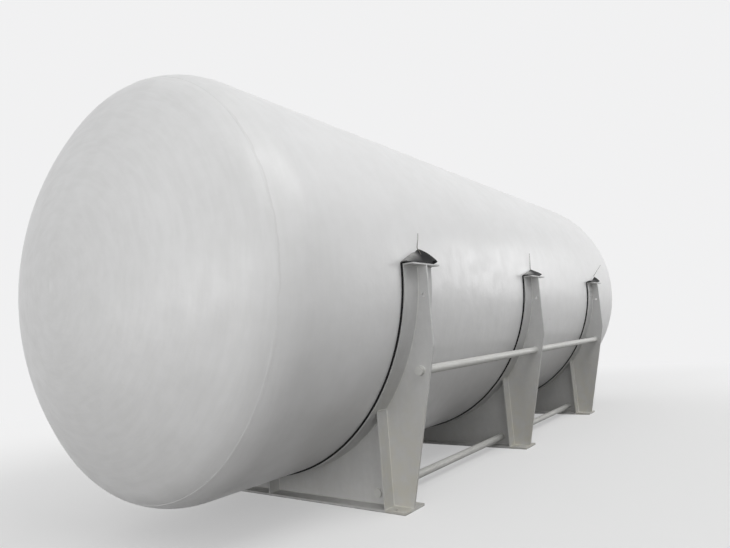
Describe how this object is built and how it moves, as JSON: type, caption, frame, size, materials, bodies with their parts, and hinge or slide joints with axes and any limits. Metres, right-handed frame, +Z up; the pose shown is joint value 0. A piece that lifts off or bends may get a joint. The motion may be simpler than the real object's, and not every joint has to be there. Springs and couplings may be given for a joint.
{
  "type": "horizontal pressure tank on saddles",
  "caption": "Long round tank with dished ends, lying in plate saddles that are lined with rubber and joined by tie pipes.",
  "frame": {"origin": "on the ground under the middle of the tank, which is the centre of the bottom of the bounding box", "axes": "+X along the tank from its front end to its rear end, +Y to its left, +Z up"},
  "size_m": [9.6182, 3.822, 3.814],
  "materials": {
    "gelcoat": "glossy white gelcoat on glass-fibre laminate",
    "saddle_paint": "satin off-white paint on plate steel",
    "tie_paint": "satin off-white paint on steel pipe",
    "liner_rubber": "matt black sheet rubber"
  },
  "bodies": {
    "root": {"shell": "gelcoat", "front_head": "gelcoat", "rear_head": "gelcoat", "front_base_plate": "saddle_paint", "front_web": "saddle_paint", "front_cradle": "saddle_paint", "front_side_ribs": "saddle_paint", "front_centre_ribs": "saddle_paint", "front_top_plates": "saddle_paint", "front_liner": "liner_rubber", "middle_base_plate": "saddle_paint", "middle_web": "saddle_paint", "middle_cradle": "saddle_paint", "middle_side_ribs": "saddle_paint", "middle_centre_ribs": "saddle_paint", "middle_top_plates": "saddle_paint", "middle_liner": "liner_rubber", "rear_base_plate": "saddle_paint", "rear_web": "saddle_paint", "rear_cradle": "saddle_paint", "rear_side_ribs": "saddle_paint", "rear_centre_ribs": "saddle_paint", "rear_top_plates": "saddle_paint", "rear_liner": "liner_rubber", "left_upper_tie_front": "tie_paint", "left_upper_tie_rear": "tie_paint", "left_lower_tie_front": "tie_paint", "left_lower_tie_rear": "tie_paint", "right_upper_tie_front": "tie_paint", "right_upper_tie_rear": "tie_paint", "right_lower_tie_front": "tie_paint", "right_lower_tie_rear": "tie_paint", "front_tie_caps": "tie_paint", "rear_tie_caps": "tie_paint"}
  },
  "joints": []
}
